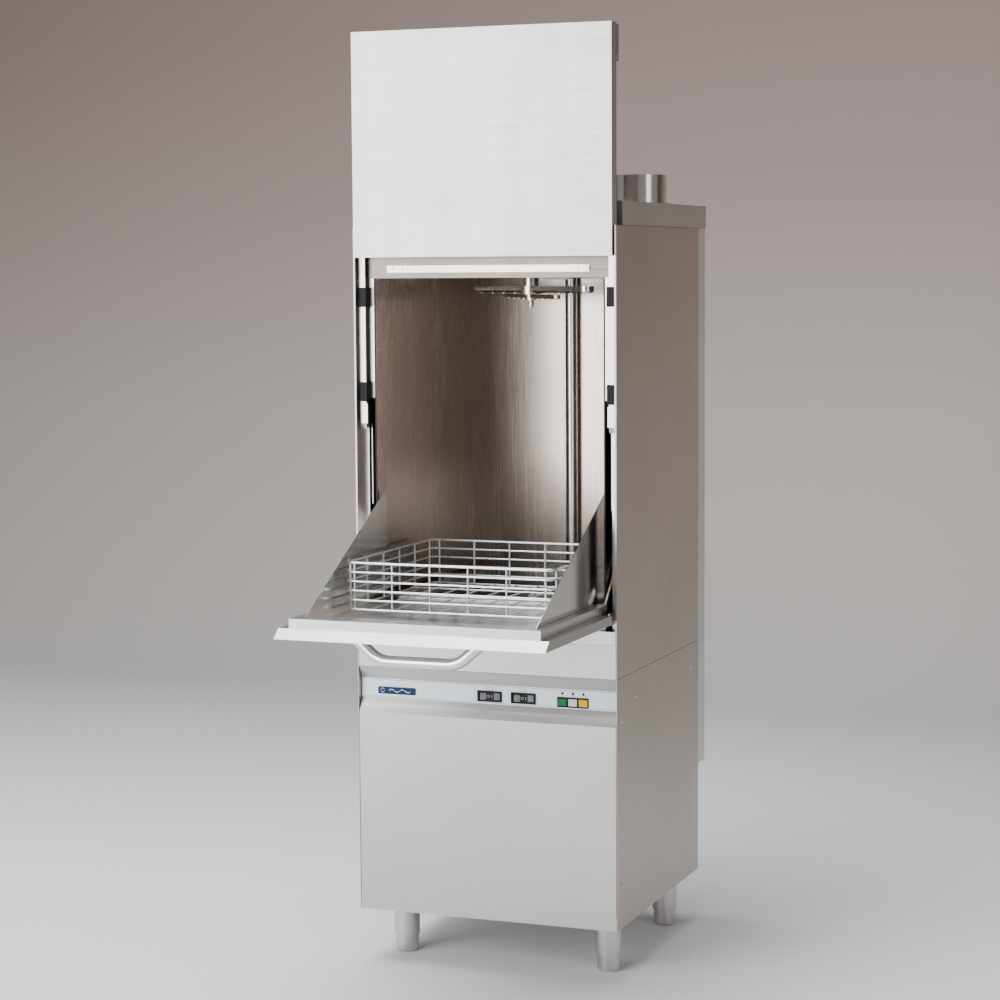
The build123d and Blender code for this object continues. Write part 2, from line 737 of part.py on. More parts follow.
def boiler():
    x, y, radius = 150, 260, 90
    floor = BODY_BOTTOM + PLATE
    wall, dome, stand = 3, 20, 40
    low, high = floor + stand, TANK_BOTTOM - stand
    shell = fillet(rod_z(x, y, low, high, radius).edges(), dome)
    water = rod_z(x, y, low + wall, high - wall, radius - wall)
    shell -= fillet(water.edges(), dome - wall)
    spread, leg_radius = 40, 8
    legs = [
        rod_z(x + dx, y + dy, floor, low + 1, leg_radius)
        for dx in (-spread, spread)
        for dy in (-spread, spread)
    ]
    return joined([shell, *legs])


def electrical_box():
    wall = 2.5
    x0, x1 = -270, -90
    y0, y1 = 60, 170
    z0, z1 = BODY_BOTTOM + 120, BODY_BOTTOM + 400
    case = fillet(block(x0, x1, y0, y1, z0, z1).edges(), 3)
    return case - block(x0 + wall, x1 - wall, y0 + wall, y1 - wall, z0 + wall, z1 - wall)


def drain_outlet():
    """Waste pipe from the tank floor to the back of the machine."""
    x, z, radius = service_ports()[0]
    _, tank_y = overflow_place()
    points = [(x, tank_y, TANK_BOTTOM), (x, tank_y, z), (x, CABINET_DEPTH + STUB_REACH, z)]
    return joined([bent_rod(points, radius, 2 * radius), back_collar(x, z, radius)])


def back_collar(x, z, radius):
    """Flange that seats a stub on the outside of the back panel."""
    return rod_y(x, CABINET_DEPTH, CABINET_DEPTH + COLLAR, z, radius + COLLAR_WIDTH)


def water_inlet():
    """Solenoid valve with its threaded stub."""
    x, z, radius = service_ports()[1]
    stub = rod_y(x, CABINET_DEPTH - 50, CABINET_DEPTH + INLET_REACH, z, radius)
    valve = block(x - 22, x + 22, CABINET_DEPTH - 90, CABINET_DEPTH - 30, z - 20, z + 20)
    coil = rod_z(x, CABINET_DEPTH - 60, z + 10, z + 50, 15)
    bore = rod_y(x, CABINET_DEPTH - 20, CABINET_DEPTH + 30, z, radius - 4)
    return joined([stub, valve, coil, back_collar(x, z, radius)]) - bore


def cable_gland():
    x, z, radius = service_ports()[2]
    body = rod_y(x, CABINET_DEPTH - 12, CABINET_DEPTH + 20, z, radius)
    collar = rod_y(x, CABINET_DEPTH, CABINET_DEPTH + 8, z, radius + 4)
    return joined([body, collar]) - rod_y(x, CABINET_DEPTH - 20, CABINET_DEPTH + 30, z, radius - 4)


# ---------------------------------------------------------------- door frame
def jamb_slot():
    """Where the lift lever and the yoke pass the jamb."""
    return block(LINER_HALF + 3.5, BAR_INNER + 1.5, JAMB_Y - 5, JAMB_Y + 5, SILL_BOTTOM, JAMB_SLOT_TOP)


def jamb(side):
    strip = block(LINER_HALF, INNER_HALF, JAMB_Y, JAMB_Y + PLATE, SEAM_Z + GAP, CABINET_TOP - 4)
    strip -= jamb_slot()
    return strip if side > 0 else mirror(strip, about=Plane.YZ)


def guide_blocks():
    """Plastic channels that keep the slide bars in line."""
    bar_back = BAR_FRONT + BAR_THICK
    blocks = []
    for z in (JAMB_SLOT_TOP - 7.0, LINTEL_BOTTOM - 62.0):
        for side in (-1, 1):
            body = block(BAR_INNER - 3.5, BAR_INNER + 13, BAR_FRONT - 3.7, JAMB_Y, z, z + 42)
            body -= block(
                BAR_INNER - SLIDE_FIT, BAR_INNER + 20, BAR_FRONT - SLIDE_FIT, bar_back + SLIDE_FIT,
                z - 5, z + 60,
            )
            blocks.append(body if side > 0 else mirror(body, about=Plane.YZ))
    return blocks


def lintel():
    half = BAR_INNER + 11
    face = block(-half, half, JAMB_Y - PLATE, JAMB_Y, LINTEL_BOTTOM, CABINET_TOP)
    ledge = block(-half, half, JAMB_Y - PLATE, CAP_FRONT, CABINET_TOP - PLATE, CABINET_TOP)
    return joined([face, ledge])


def gasket_rail():
    """Strip with its four screw heads that holds the door seal on the lintel."""
    front = JAMB_Y - PLATE
    half, thick = 232, 3
    low, high = LINTEL_BOTTOM + 12, LINTEL_BOTTOM + 27
    rail = block(-half, half, front - thick, front, low, high)
    head_z, head_radius = high - 6, 4
    heads = [
        rod_y(x, front - thick - 2, front - thick, head_z, head_radius) for x in (-221, -198, 205, 227)
    ]
    return joined([rail, *heads])


def hinge_brackets():
    inner = BAR_INNER + 5
    eye = rod_x(inner, inner + 4, 0, PIVOT_Z, 14)
    arm = block(inner, inner + 4, 0, JAMB_Y, PIVOT_Z - 14, PIVOT_Z + 14)
    bracket = joined([eye, arm]) - rod_x(inner - 5, inner + 10, 0, PIVOT_Z, hinge_pin() + RUNNING_CLEARANCE)
    return mirrored(bracket)


def hinge_pin():
    return 5.0


# ---------------------------------------------------------------- lower door
def lower_door_skin():
    """Folded outer tray: bevelled lip, side walls and a tail behind the hinge."""
    lip_top = -DOOR_REACH + LIP_BEVEL
    half = LOWER_DOOR_HALF
    shell = side_prism(
        [
            (-DOOR_REACH, SKIN_BOTTOM),
            (lip_top, SKIN_TOP),
            (-EAR_SETBACK, SKIN_TOP),
            (-EAR_SETBACK, SKIN_BOTTOM),
        ],
        -half, half,
    )
    wall = SHEET * 1.6
    hollow = side_prism(
        [
            (-DOOR_REACH + wall + SHEET, SKIN_BOTTOM + SHEET),
            (lip_top + wall, SKIN_TOP - SHEET),
            (0, SKIN_TOP - SHEET),
            (0, SKIN_BOTTOM + SHEET),
        ],
        -half + SHEET, half - SHEET,
    )
    window_half = PAN_HALF - 3
    window = block(-window_half, window_half, PAN_FRONT + 3, 0, SKIN_BOTTOM + 5, SKIN_TOP + 5)
    tail = block(-PAN_HALF, PAN_HALF, -EAR_SETBACK - 1, DOOR_TAIL, SKIN_BOTTOM, SKIN_BOTTOM + SHEET)
    return joined([shell - hollow - window, tail])


def lower_door_liner():
    """Inner pan with a raised rim, open at the hinge for the lift levers."""
    inner_half = PAN_HALF - PAN_RIM
    floor = PAN_TOP - PAN_DEPTH
    outer = block(-PAN_HALF, PAN_HALF, PAN_FRONT, PAN_TAIL, SKIN_TOP, PAN_TOP)
    basin = block(-inner_half, inner_half, PAN_FRONT + PAN_RIM, PAN_TAIL + 5, floor, PAN_TOP + 5)
    under = block(
        -inner_half + PLATE, inner_half - PLATE, PAN_FRONT + PLATE, PAN_TAIL + 5,
        SKIN_TOP - 5, floor - PLATE,
    )
    rim_sides = pair(
        inner_half + PLATE, PAN_HALF - PLATE, PAN_FRONT + PLATE, PAN_TAIL + 5,
        SKIN_TOP - 5, PAN_TOP - PLATE,
    )
    rim_front = block(
        -PAN_HALF + PLATE, PAN_HALF - PLATE, PAN_FRONT + PLATE, PAN_FRONT + PAN_RIM - PLATE,
        SKIN_TOP - 5, PAN_TOP - PLATE,
    )
    pan = outer - basin - under - rim_front
    for hollow in rim_sides:
        pan -= hollow
    upright = pan.edges().filter_by(Axis.Z)
    corners = [e for e in upright if e.center().Y < PAN_FRONT + 1 and abs(e.center().X) > PAN_HALF - 1]
    return fillet(corners, 1.0)


def lower_door_cheeks():
    floor = PAN_TOP - PAN_DEPTH
    outline = [
        (-CHEEK_FRONT, floor),
        (-CHEEK_FRONT, floor + CHEEK_TOE),
        (CHEEK_BACK, CHEEK_TOP),
        (CHEEK_BACK + 3, floor),
    ]
    cheek = side_prism(outline, CHEEK_X - PLATE / 2, CHEEK_X + PLATE / 2)
    return mirrored(cheek)


def lower_door_handle():
    y = -DOOR_REACH + HANDLE_SETBACK
    low = SKIN_BOTTOM - HANDLE_DROP
    points = [
        (-HANDLE_HALF, y, SKIN_BOTTOM),
        (-HANDLE_GRIP_HALF, y, low),
        (HANDLE_GRIP_HALF, y, low),
        (HANDLE_HALF, y, SKIN_BOTTOM),
    ]
    tube = bent_rod(points, HANDLE_RADIUS, HANDLE_BEND)
    above = block(-200, 200, y - 60, y + 60, SKIN_BOTTOM, SKIN_BOTTOM + 60)
    stubs = [
        rod_z(side * (HANDLE_HALF - 4), y, SKIN_BOTTOM - 7, SKIN_BOTTOM, HANDLE_RADIUS + 2)
        for side in (-1, 1)
    ]
    return joined([tube, *stubs]) - above


def lift_levers():
    """Lever, stub shaft and roller on each side: they drive the upper door."""
    inner = BAR_INNER - 11
    outer = inner + LEVER_THICK
    half = LEVER_WIDTH / 2
    along = LEVER_RADIUS / sqrt(2)
    side_step = half / sqrt(2)
    arm = side_prism(
        [
            (-side_step, PIVOT_Z + side_step),
            (side_step, PIVOT_Z - side_step),
            (along + side_step, PIVOT_Z + along - side_step),
            (along - side_step, PIVOT_Z + along + side_step),
        ],
        inner, outer,
    )
    foot = block(inner, outer, -90, 0, SKIN_BOTTOM + SHEET, PIVOT_Z + 9)
    hub = rod_x(inner, outer, 0, PIVOT_Z, 8)
    tip = rod_x(inner, outer, PIN_Y, PIN_Z, half)
    shaft = rod_x(inner, BAR_INNER + 12, 0, PIVOT_Z, hinge_pin())
    roller = rod_x(outer, BAR_INNER + 3, PIN_Y, PIN_Z, ROLLER_RADIUS)
    return mirrored(joined([arm, foot, hub, tip, shaft, roller]))


# ---------------------------------------------------------------- upper door
def upper_door_skin():
    half = UPPER_DOOR_HALF
    back = UPPER_DOOR_DEPTH - DOOR_FACE
    outer = block(-half, half, -DOOR_FACE, back, UPPER_BOTTOM, UPPER_TOP)
    inner_half = half - SHEET
    inner = block(
        -inner_half, inner_half, -DOOR_FACE + SHEET, back, UPPER_BOTTOM + SHEET, UPPER_TOP - SHEET
    )
    shallow = UPPER_FLANGE_DEPTH - DOOR_FACE
    cut = block(-half + SHEET, half - SHEET, shallow, back, UPPER_BOTTOM, UPPER_TOP)
    return outer - inner - cut


def yoke_half_height():
    """Half the slot height: the roller plus the lag of a turning lever behind a straight slide."""
    lag = max(
        LEVER_RADIUS * sin(radians(a)) - LEVER_RADIUS / sqrt(2) * a / 45.0 for a in range(46)
    )
    return ROLLER_RADIUS + lag + 1.2


def slide_bars():
    """Bar behind the door's edge with a plate that ends in the roller's slot."""
    bar_outer = UPPER_DOOR_HALF - SHEET
    bottom = UPPER_BOTTOM - BAR_BELOW_DOOR
    back = BAR_FRONT + BAR_THICK
    bar = side_prism(
        [
            (BAR_FRONT, bottom + 12),
            (BAR_FRONT + BAR_THICK, bottom),
            (back, UPPER_TOP - 8),
            (BAR_FRONT, UPPER_TOP - 8),
        ],
        BAR_INNER, bar_outer,
    )
    inner = BAR_INNER - YOKE_THICK
    slot_half = yoke_half_height()
    margin = 11  # metal round the slot
    head_half = slot_half + margin
    front_y = PIN_Y - ROLLER_RADIUS - margin - 1
    rear_y = LEVER_RADIUS + ROLLER_RADIUS + margin + 1
    arm_back = JAMB_Y + 30
    low_end = bottom + 12
    weld_top = bottom + 55
    plate = side_prism(
        [
            (BAR_FRONT, low_end),
            (JAMB_Y + 8, low_end),
            (JAMB_Y + 8, PIN_Z + head_half + 30),
            (front_y, PIN_Z - head_half),
            (rear_y, PIN_Z - head_half),
            (rear_y, PIN_Z + head_half),
            (arm_back + 60, PIN_Z + head_half),
            (arm_back, PIN_Z + head_half + 60),
            (arm_back, weld_top),
            (BAR_FRONT, weld_top),
        ],
        inner, BAR_INNER,
    )
    slot = block(
        inner - 5, BAR_INNER + 5, PIN_Y - ROLLER_RADIUS - 1, LEVER_RADIUS + ROLLER_RADIUS + 1,
        PIN_Z - slot_half, PIN_Z + slot_half,
    )
    weld = block(inner, BAR_INNER + 1, BAR_FRONT, back, low_end, weld_top)
    return mirrored(joined([bar, plate - slot, weld]))


def hook_reach():
    return CAP_FRONT - 2.0


def door_hooks():
    """Corner brackets that carry the rubber bumpers behind the upper door."""
    outer = UPPER_DOOR_HALF - SHEET
    inner = outer - 3
    reach = hook_reach()
    stub_front = reach - 10
    outline = [
        (BAR_FRONT + BAR_THICK, UPPER_TOP - 2),
        (reach, UPPER_TOP - 2),
        (reach, bumper_top()),
        (stub_front, bumper_top()),
        (stub_front, UPPER_TOP - 42),
        (BAR_FRONT + BAR_THICK, UPPER_TOP - 42),
    ]
    return mirrored(side_prism(outline, inner, outer))


def bumper_bottom():
    return CABINET_TOP + UPPER_TRAVEL + 0.4


def bumper_top():
    return bumper_bottom() + 14


def door_bumpers():
    outer = UPPER_DOOR_HALF - SHEET
    reach = hook_reach()
    pad = block(outer - 9, outer, reach - 11, reach, bumper_bottom(), bumper_top())
    return mirrored(fillet(pad.edges().filter_by(Axis.Z), 1.5))


# ---------------------------------------------------------------- rack
def rack_ring(z, radius):
    """A wire bent to a rounded rectangle."""
    corner = 18.0
    half_x = RACK_HALF - radius
    half_y = RACK_DEPTH / 2 - radius
    path = Plane.XY.offset(z) * RectangleRounded(2 * half_x, 2 * half_y, corner)
    wire = path.faces()[0].outer_wire()
    start = wire @ 0
    section = Plane(origin=start, z_dir=wire % 0) * Circle(radius)
    return sweep(section, path=wire)


def wash_rack():
    """Welded wire basket: rings, posts and a floor grid."""
    low = RACK_BOTTOM + WIRE_RADIUS
    high = RACK_BOTTOM + RACK_HEIGHT - POST_RADIUS
    rings = []
    for i in range(RACK_LEVELS):
        z = low + (high - low) * i / (RACK_LEVELS - 1)
        rings.append(rack_ring(z, POST_RADIUS if i == RACK_LEVELS - 1 else WIRE_RADIUS))
    half_x = RACK_HALF - WIRE_RADIUS
    half_y = RACK_DEPTH / 2 - WIRE_RADIUS
    posts = []
    for i in range(RACK_POSTS):
        share = 2 * i / (RACK_POSTS - 1) - 1
        x = share * (half_x - 20)
        y = share * (half_y - 20)
        inset = WIRE_RADIUS * 1.3
        posts += [rod_z(x, side * (half_y - inset), low, high, WIRE_RADIUS) for side in (-1, 1)]
        posts += [rod_z(side * (half_x - inset), y, low, high, WIRE_RADIUS) for side in (-1, 1)]
    lines = 8
    floor = []
    for i in range(lines):
        x = (2 * (i + 1) / (lines + 1) - 1) * half_x
        floor.append(rod_y(x, -half_y, half_y, low, WIRE_RADIUS * 0.9))
    cross = 3
    for i in range(cross):
        y = (2 * (i + 1) / (cross + 1) - 1) * half_y
        floor.append(rod_x(-half_x, half_x, y, low + WIRE_RADIUS, WIRE_RADIUS * 0.9))
    rack = joined([*rings, *posts, *floor])
    return Pos(0, RACK_FRONT + RACK_DEPTH / 2, 0) * rack


# ---------------------------------------------------------------- all pieces by name
def pieces():
    made = {
        "base_frame": base_frame(),
        "levelling_feet": levelling_feet(),
        "lower_side_panel_left": lower_side_panel(-1),
        "lower_side_panel_right": lower_side_panel(1),
        "lower_back_panel": lower_back_panel(),
        "lower_front_panel": lower_front_panel(),
        "upper_front_panel": upper_front_panel(),
        "door_sill": door_sill(),
        "panel_screws": panel_screws(),
        "control_fascia": control_fascia(),
        "badge_plate": badge_plate(),
        "power_switch_housing": switch_housing(SWITCH_CENTRES[0]),
        "power_switch_rocker": switch_rocker(SWITCH_CENTRES[0]),
        "cycle_switch_housing": switch_housing(SWITCH_CENTRES[1]),
        "cycle_switch_rocker": switch_rocker(SWITCH_CENTRES[1]),
        "button_frame": button_frame(),
        "indicator_lamps": indicator_lamps(),
        "wash_tank": wash_tank(),
        "chamber_liner": chamber_liner(),
        "chamber_ceiling": chamber_ceiling(),
        "upper_side_panel_left": upper_side_panel(-1),
        "upper_side_panel_right": upper_side_panel(1),
        "upper_back_panel": upper_back_panel(),
        "jamb_left": jamb(-1),
        "jamb_right": jamb(1),
        "guide_blocks": guide_blocks(),
        "lintel": lintel(),
        "gasket_rail": gasket_rail(),
        "top_cap": top_cap(),
        "steam_spigot": steam_spigot(),
        "rear_duct": rear_duct(),
        "hinge_brackets": hinge_brackets(),
        "rack_rails": rack_rails(),
        "sill_roller": sill_roller(),
        "wash_manifold": wash_manifold(),
        "lower_wash_arm": lower_arm(wash_arm(), 0),
        "lower_rinse_arm": lower_arm(rinse_arm(), rinse_lift()),
        "upper_wash_arm": upper_arm(wash_arm(), 0),
        "upper_rinse_arm": upper_arm(rinse_arm(), rinse_lift()),
        "tank_filter": tank_filter(),
        "overflow_pipe": overflow_pipe(),
        "wash_pump": wash_pump(),
        "suction_pipe": suction_pipe(),
        "boiler": boiler(),
        "electrical_box": electrical_box(),
        "water_inlet": water_inlet(),
        "drain_outlet": drain_outlet(),
        "cable_gland": cable_gland(),
        "lower_door_skin": lower_door_skin(),
        "lower_door_liner": lower_door_liner(),
        "lower_door_cheeks": lower_door_cheeks(),
        "lower_door_handle": lower_door_handle(),
        "lift_levers": lift_levers(),
        "upper_door_skin": upper_door_skin(),
        "slide_bars": slide_bars(),
        "door_hooks": door_hooks() + door_bumpers(),
        "wash_rack": wash_rack(),
    }
    names = ("start_button", "cycle_button", "drain_button")
    made.update(zip(names, map(push_button, button_places())))
    return made


def write_pieces():
    os.makedirs("parts", exist_ok=True)
    to_part_frame = Pos(0, -CENTRE_Y, 0)
    for name, shape in pieces().items():
        solids = shape if isinstance(shape, list) else [shape]
        moved = [to_part_frame * solid for solid in solids]
        piece = moved[0] if len(moved) == 1 else Compound(children=moved)
        export_step(piece, f"parts/{name}.step")


write_pieces()
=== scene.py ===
"""Studio scene of the split-door dishwasher: finishes, small visual pieces, lights and camera."""
import json
from math import cos, pi, radians, sin

import bmesh
import bpy
from mathutils import Matrix, Vector


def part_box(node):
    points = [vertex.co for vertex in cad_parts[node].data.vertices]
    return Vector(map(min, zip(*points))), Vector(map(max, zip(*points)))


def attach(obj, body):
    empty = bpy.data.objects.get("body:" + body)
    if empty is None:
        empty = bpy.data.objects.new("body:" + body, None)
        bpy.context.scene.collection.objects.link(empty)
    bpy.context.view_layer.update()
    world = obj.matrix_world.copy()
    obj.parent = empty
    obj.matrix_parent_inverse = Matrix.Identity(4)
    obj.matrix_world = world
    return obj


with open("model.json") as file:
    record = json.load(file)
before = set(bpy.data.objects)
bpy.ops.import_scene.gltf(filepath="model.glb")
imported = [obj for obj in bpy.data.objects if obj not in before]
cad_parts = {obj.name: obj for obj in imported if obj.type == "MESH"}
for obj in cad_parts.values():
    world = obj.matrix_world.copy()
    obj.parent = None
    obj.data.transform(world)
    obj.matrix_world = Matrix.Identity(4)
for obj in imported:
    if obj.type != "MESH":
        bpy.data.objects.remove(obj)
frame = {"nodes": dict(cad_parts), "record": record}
MM = 0.001
ROCKER_TILT = radians(8)
WING_MIDDLE = 9 * MM
WING_SLOPE = 2.0 / 23.5  # rise of a wing from the middle of the rocker to its end
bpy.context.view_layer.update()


# ------------------------------------------------------------------ material helpers
class Finish:
    """A principled material with short calls for the nodes that these finishes share."""

    def __init__(self, name, **constants):
        self.material = bpy.data.materials.new(name)
        self.material.use_nodes = True
        self.tree = self.material.node_tree
        self.shader = self.tree.nodes["Principled BSDF"]
        for socket, value in constants.items():
            self.shader.inputs[socket.replace("_", " ")].default_value = value

    def node(self, kind, **settings):
        made = self.tree.nodes.new(kind)
        for key, value in settings.items():
            setattr(made, key, value)
        return made

    def link(self, source, target):
        self.tree.links.new(source, target)

    def place(self, scale):
        """Object coordinates in metres, stretched by scale along each axis."""
        coords = self.node("ShaderNodeTexCoord")
        mapping = self.node("ShaderNodeMapping")
        mapping.inputs["Scale"].default_value = scale
        self.link(coords.outputs["Object"], mapping.inputs["Vector"])
        return mapping.outputs["Vector"]

    def noise(self, scale, detail=3.0, rough=0.5):
        texture = self.node("ShaderNodeTexNoise")
        texture.inputs["Scale"].default_value = 1.0
        texture.inputs["Detail"].default_value = detail
        texture.inputs["Roughness"].default_value = rough
        self.link(self.place(scale), texture.inputs["Vector"])
        return texture.outputs["Fac"]

    def cells(self, scale):
        texture = self.node("ShaderNodeTexVoronoi")
        texture.inputs["Scale"].default_value = 1.0
        self.link(self.place(scale), texture.inputs["Vector"])
        return texture.outputs["Color"]

    def span(self, factor, low, high, start=0.0, end=1.0):
        """A number that runs from low to high as factor runs from start to end."""
        spread = self.node("ShaderNodeMapRange")
        spread.inputs["From Min"].default_value = start
        spread.inputs["From Max"].default_value = end
        spread.inputs["To Min"].default_value = low
        spread.inputs["To Max"].default_value = high
        self.link(factor, spread.inputs["Value"])
        return spread.outputs["Result"]

    def colours(self, factor, stops):
        ramp = self.node("ShaderNodeValToRGB")
        band = ramp.color_ramp
        while len(band.elements) < len(stops):
            band.elements.new(0.5)
        for element, (position, colour) in zip(band.elements, stops):
            element.position = position
            element.color = (*colour, 1.0)
        self.link(factor, ramp.inputs["Fac"])
        return ramp.outputs["Color"]

    def bump(self, height, distance, strength=1.0, below=None):
        bump = self.node("ShaderNodeBump")
        bump.inputs["Distance"].default_value = distance
        bump.inputs["Strength"].default_value = strength
        self.link(height, bump.inputs["Height"])
        if below is not None:
            self.link(below, bump.inputs["Normal"])
        return bump.outputs["Normal"]

    def drive(self, **outputs):
        for socket, output in outputs.items():
            self.link(output, self.shader.inputs[socket.replace("_", " ")])
        return self.material


def shade(colour, factor):
    return tuple(min(1.0, c * factor) for c in colour)


GRAIN = {"x": (6.0, 900.0, 900.0), "y": (900.0, 6.0, 900.0), "z": (900.0, 900.0, 6.0)}


def brushed(name, colour, grain="x", rough=0.3, depth=0.000012, clouds=0.05):
    """Stainless sheet: fine brush lines, faint clouds of handling and cleaning streaks."""
    finish = Finish(name, Metallic=1.0)
    lines = finish.noise(GRAIN[grain], detail=4.0, rough=0.65)
    cloud = finish.noise((3.0, 3.0, 3.0), detail=5.0, rough=0.55)
    streak = finish.noise((14.0, 14.0, 1.6), detail=4.0, rough=0.6)
    tone = finish.colours(
        cloud, [(0.3, shade(colour, 1 - clouds)), (0.7, shade(colour, 1 + clouds))]
    )
    roughness = finish.node("ShaderNodeMath", operation="ADD")
    finish.link(finish.span(lines, rough - 0.05, rough + 0.07, 0.3, 0.7), roughness.inputs[0])
    finish.link(finish.span(streak, -0.02, 0.035, 0.35, 0.75), roughness.inputs[1])
    dents = finish.bump(finish.noise((2.2, 2.2, 2.2), detail=1.0), 0.0016, 0.2)
    normal = finish.bump(lines, depth, 0.6, below=dents)
    finish.shader.inputs["Anisotropic"].default_value = 0.35
    return finish.drive(Base_Color=tone, Roughness=roughness.outputs[0], Normal=normal)


def polished(name, colour, rough=0.12):
    """Buffed stainless: mirror-like with hairline scratches and water marks."""
    finish = Finish(name, Metallic=1.0)
    marks = finish.noise((60.0, 60.0, 60.0), detail=6.0, rough=0.7)
    scratch = finish.noise((40.0, 700.0, 240.0), detail=2.0)
    tone = finish.colours(marks, [(0.35, shade(colour, 0.95)), (0.65, shade(colour, 1.03))])
    normal = finish.bump(scratch, 0.000008, 0.5, below=finish.bump(marks, 0.00002, 0.3))
    return finish.drive(
        Base_Color=tone,
        Roughness=finish.span(marks, rough, rough + 0.12, 0.35, 0.75),
        Normal=normal,
    )


def galvanised(name, colour):
    """Zinc-coated sheet with its crystal pattern."""
    finish = Finish(name, Metallic=1.0)
    spangle = finish.node("ShaderNodeSeparateColor")
    finish.link(finish.cells((90.0, 90.0, 90.0)), spangle.inputs["Color"])
    tone = finish.colours(
        spangle.outputs["Red"], [(0.0, shade(colour, 0.86)), (1.0, shade(colour, 1.08))]
    )
    return finish.drive(
        Base_Color=tone, Roughness=finish.span(spangle.outputs["Green"], 0.38, 0.58)
    )


def moulded(name, colour, rough=0.45, grain=1400.0, depth=0.00003, coat=0.0, gloss=0.5):
    """Moulded plastic: fine spark-eroded grain and slight unevenness of colour.

    The grain is a texture frequency per metre, the depth is its height in metres."""
    finish = Finish(name, Coat_Weight=coat, Coat_Roughness=0.12, Specular_IOR_Level=gloss)
    fine = finish.noise((grain, grain, grain), detail=2.0)
    cloud = finish.noise((35.0, 35.0, 35.0), detail=3.0)
    tone = finish.colours(cloud, [(0.3, shade(colour, 0.93)), (0.7, shade(colour, 1.05))])
    return finish.drive(
        Base_Color=tone,
        Roughness=finish.span(fine, rough - 0.06, rough + 0.08, 0.3, 0.7),
        Normal=finish.bump(fine, depth, 0.5),
    )


def smooth_plastic(name, colour, rough=0.35, grain=800.0):
    """Plastic from a polished mould: hardly any grain and a weak shine."""
    return moulded(name, colour, rough, grain, 0.00001, gloss=0.2)


def rubber(name, colour):
    """Matt rubber with dust in its pores."""
    finish = Finish(name, Specular_IOR_Level=0.35)
    dust = finish.noise((220.0, 220.0, 220.0), detail=5.0, rough=0.7)
    tone = finish.colours(dust, [(0.45, colour), (0.8, shade(colour, 1.9))])
    return finish.drive(
        Base_Color=tone,
        Roughness=finish.span(dust, 0.62, 0.85),
        Normal=finish.bump(dust, 0.00006, 0.5),
    )


def printed_film(name, colour):
    """Polyester control film: fine texture under a satin coat."""
    finish = Finish(name, Coat_Weight=0.25, Coat_Roughness=0.25)
    weave = finish.noise((2600.0, 2600.0, 2600.0), detail=1.0)
    cloud = finish.noise((9.0, 9.0, 9.0), detail=4.0)
    tone = finish.colours(cloud, [(0.3, shade(colour, 0.96)), (0.7, shade(colour, 1.03))])
    return finish.drive(
        Base_Color=tone,
        Roughness=finish.span(weave, 0.34, 0.5),
        Normal=finish.bump(weave, 0.00001, 0.5),
    )


def cast_paint(name, colour):
    """Paint over a rough casting."""
    finish = Finish(name, Coat_Weight=0.2, Coat_Roughness=0.3)
    skin = finish.noise((160.0, 160.0, 160.0), detail=6.0, rough=0.65)
    tone = finish.colours(skin, [(0.3, shade(colour, 0.8)), (0.7, shade(colour, 1.2))])
    return finish.drive(
        Base_Color=tone,
        Roughness=finish.span(skin, 0.35, 0.6),
        Normal=finish.bump(skin, 0.0004, 0.5),
    )


def brass(name, colour):
    """Brass with dull tarnished patches."""
    finish = Finish(name, Metallic=1.0)
    tarnish = finish.noise((70.0, 70.0, 70.0), detail=6.0, rough=0.65)
    tone = finish.colours(tarnish, [(0.35, shade(colour, 0.7)), (0.7, shade(colour, 1.1))])
    return finish.drive(
        Base_Color=tone,
        Roughness=finish.span(tarnish, 0.25, 0.5),
        Normal=finish.bump(tarnish, 0.0001, 0.4),
    )


def lens(name, colour):
    """Smoked lens of an indicator lamp."""
    finish = Finish(name, Transmission_Weight=0.3, IOR=1.49)
    swirl = finish.noise((500.0, 500.0, 500.0), detail=3.0)
    tone = finish.colours(swirl, [(0.3, shade(colour, 0.85)), (0.7, shade(colour, 1.1))])
    return finish.drive(Base_Color=tone, Roughness=finish.span(swirl, 0.08, 0.2))


def studio_paper_painted_shade(name, stops, reach):
    """Pale seamless paper with painted shade: it darkens and turns brown along the floor and up the
    back wall.

    Each stop is (distance, colour). The distance is y + z in metres, from 0 to reach."""
    finish = Finish(name, Specular_IOR_Level=0.15)
    coords = finish.node("ShaderNodeTexCoord")
    split = finish.node("ShaderNodeSeparateXYZ")
    finish.link(coords.outputs["Object"], split.inputs["Vector"])
    along = finish.node("ShaderNodeMath", operation="ADD")
    finish.link(split.outputs["Y"], along.inputs[0])
    finish.link(split.outputs["Z"], along.inputs[1])
    distance = finish.span(along.outputs[0], 0.0, 1.0, 0.0, reach)
    tone = finish.colours(distance, [(at / reach, colour) for at, colour in stops])
    fibre = finish.noise((60.0, 60.0, 60.0), detail=4.0)
    return finish.drive(
        Base_Color=tone,
        Roughness=finish.span(fibre, 0.55, 0.7),
        Normal=finish.bump(fibre, 0.0002, 0.15),
    )


